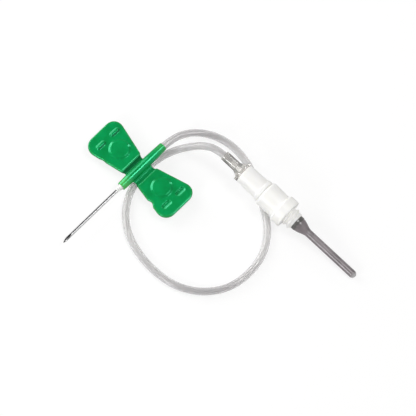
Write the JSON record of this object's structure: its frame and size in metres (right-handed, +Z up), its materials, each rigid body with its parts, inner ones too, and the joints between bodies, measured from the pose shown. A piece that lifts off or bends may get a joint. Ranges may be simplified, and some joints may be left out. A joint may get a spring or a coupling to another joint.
{
  "type": "butterfly needle",
  "caption": "Winged blood-collection needle: bare steel needle in a green hub with folding wings, clear looped tubing, white luer adapter and a grey rubber sleeve over the rear needle.",
  "frame": {"origin": "on the table, below the middle of the box of the rigid pieces", "axes": "+X along the front needle towards its point, +Y along the wings towards the luer end, +Z up"},
  "size_m": [0.0523, 0.0768, 0.0095],
  "materials": {
    "needle_steel": "polished",
    "clear_glue": "clear",
    "green_moulding": "satin, slightly translucent",
    "clear_tubing": "clear",
    "clear_connector": "clear",
    "white_plastic": "satin",
    "grey_rubber": "satin"
  },
  "bodies": {
    "hub": {"wing_hub": "green_moulding", "needle_cannula": "needle_steel", "needle_bond": "clear_glue", "tubing": "clear_tubing", "tube_connector": "clear_connector", "luer_socket": "white_plastic"},
    "left_wing": {"wing_left": "green_moulding"},
    "right_wing": {"wing_right": "green_moulding"},
    "adapter": {"luer_adapter": "white_plastic", "rear_cannula": "needle_steel", "sleeve": "grey_rubber"}
  },
  "joints": [
    {"name": "left_wing_fold", "type": "hinge", "parent": "hub", "child": "left_wing", "pos_m": [-0.00389, -0.02096, 0.00255], "axis": [1, 0, 0], "range_deg": [0, 85], "stiffness_Nm_per_rad": 0.0003},
    {"name": "right_wing_fold", "type": "hinge", "parent": "hub", "child": "right_wing", "pos_m": [-0.00389, -0.02516, 0.00255], "axis": [-1, 0, 0], "range_deg": [0, 85], "stiffness_Nm_per_rad": 0.0003},
    {"name": "adapter_pull_off", "type": "slide", "parent": "hub", "child": "adapter", "axis": [-0.025, 0.989, -0.146], "range_m": [0, 0.008]}
  ]
}
